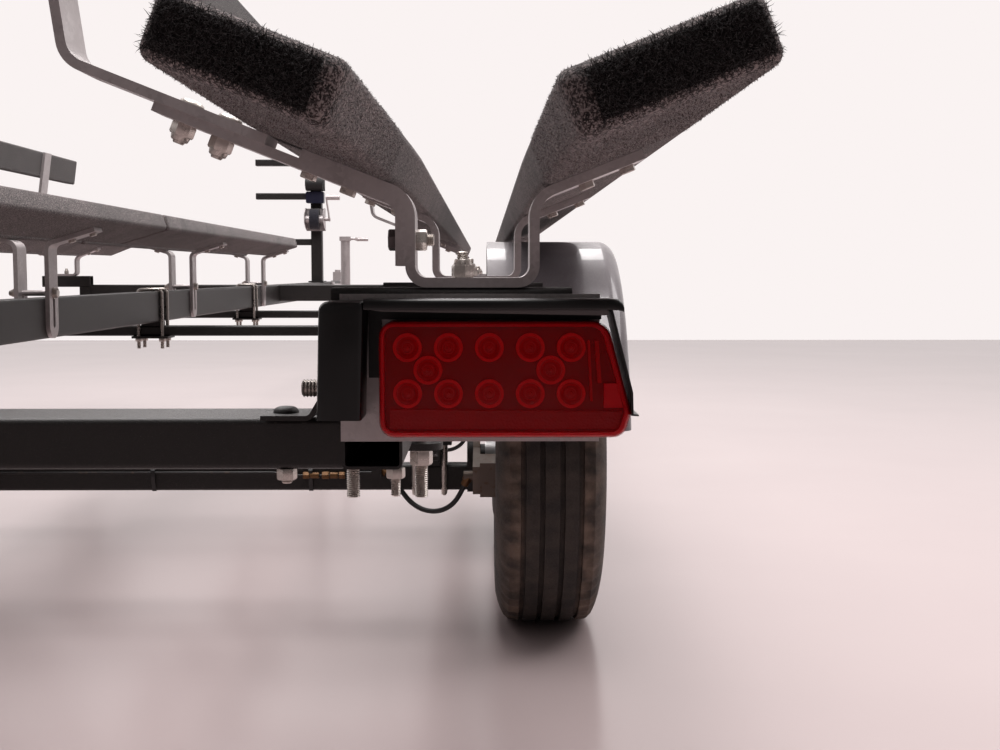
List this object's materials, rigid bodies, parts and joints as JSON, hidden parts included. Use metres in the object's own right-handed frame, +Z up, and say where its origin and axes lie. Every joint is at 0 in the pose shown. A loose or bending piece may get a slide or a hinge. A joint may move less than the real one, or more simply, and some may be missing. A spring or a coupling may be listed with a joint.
{
  "type": "pontoon boat trailer",
  "caption": "Tandem-axle bunk trailer for a three-tube pontoon boat, with carpeted bunks, guide boards, winch stand, tail lights and a swivel tongue jack.",
  "frame": {"origin": "on the floor under the middle of the overall length, on the centre line", "axes": "+X to the trailer's right, +Y forward along the tow direction, +Z up"},
  "size_m": [2.476, 8.39, 1.39],
  "materials": {
    "frame": "textured",
    "galvanised": "satin",
    "carpet": "matt",
    "spring_steel": "satin",
    "brake_steel": "rough",
    "wheel": "satin",
    "tyre": "matt",
    "fender": "gloss",
    "lens": "gloss",
    "hose": "satin",
    "rubber": "satin"
  },
  "bodies": {
    "trailer": {"side_rail_right": "frame", "side_rail_left": "frame", "outriggers_right": "frame", "outriggers_left": "frame", "corner_strap_right": "frame", "corner_strap_left": "frame", "u_brackets_right": "galvanised", "u_brackets_left": "galvanised", "guide_arms_right": "galvanised", "guide_arms_left": "galvanised", "guide_board_right": "carpet", "guide_board_left": "carpet", "inboard_bunk_right": "carpet", "inboard_bunk_left": "carpet", "outboard_bunk_right": "carpet", "outboard_bunk_left": "carpet", "centre_bunk_right": "carpet", "centre_bunk_left": "carpet", "springs_right": "spring_steel", "springs_left": "spring_steel", "calipers_right": "brake_steel", "calipers_left": "brake_steel", "fender_right": "fender", "fender_left": "fender", "tail_light_right": "lens", "tail_light_left": "lens", "light_guard_right": "frame", "light_guard_left": "frame", "light_plate_right": "galvanised", "light_plate_left": "galvanised", "rear_brake_hose_right": "hose", "rear_brake_hose_left": "hose", "front_brake_hose_right": "hose", "front_brake_hose_left": "hose", "rear_cross_member": "frame", "middle_cross_member": "frame", "forward_cross_member": "frame", "spine": "frame", "front_cross_member": "frame", "centre_brackets": "galvanised", "rear_axle": "frame", "front_axle": "frame", "winch_stand": "frame", "winch": "galvanised", "bow_stop": "rubber", "coupler": "galvanised", "jack_bracket": "galvanised"},
    "rear_wheel_right_body": {"rear_wheel_right": "wheel", "rear_tyre_right": "tyre"},
    "rear_wheel_left_body": {"rear_wheel_left": "wheel", "rear_tyre_left": "tyre"},
    "front_wheel_right_body": {"front_wheel_right": "wheel", "front_tyre_right": "tyre"},
    "front_wheel_left_body": {"front_wheel_left": "wheel", "front_tyre_left": "tyre"},
    "jack_swivel": {"jack_tube": "galvanised"},
    "jack_slide": {"jack_leg": "galvanised"}
  },
  "joints": [
    {"name": "rear_wheel_right_spin", "type": "hinge", "parent": "trailer", "child": "rear_wheel_right_body", "pos_m": [1.06, -2.41, 0.332], "axis": [1, 0, 0], "continuous": true},
    {"name": "rear_wheel_left_spin", "type": "hinge", "parent": "trailer", "child": "rear_wheel_left_body", "pos_m": [-1.06, -2.41, 0.332], "axis": [1, 0, 0], "continuous": true},
    {"name": "front_wheel_right_spin", "type": "hinge", "parent": "trailer", "child": "front_wheel_right_body", "pos_m": [1.06, -1.521, 0.332], "axis": [1, 0, 0], "continuous": true},
    {"name": "front_wheel_left_spin", "type": "hinge", "parent": "trailer", "child": "front_wheel_left_body", "pos_m": [-1.06, -1.521, 0.332], "axis": [1, 0, 0], "continuous": true},
    {"name": "jack_swing", "type": "hinge", "parent": "trailer", "child": "jack_swivel", "pos_m": [0.07, 3.15, 0.601], "axis": [1, 0, 0], "range_deg": [0, 90]},
    {"name": "jack_lift", "type": "slide", "parent": "jack_swivel", "child": "jack_slide", "axis": [0, 0, 1], "range_m": [0, 0.38]}
  ]
}
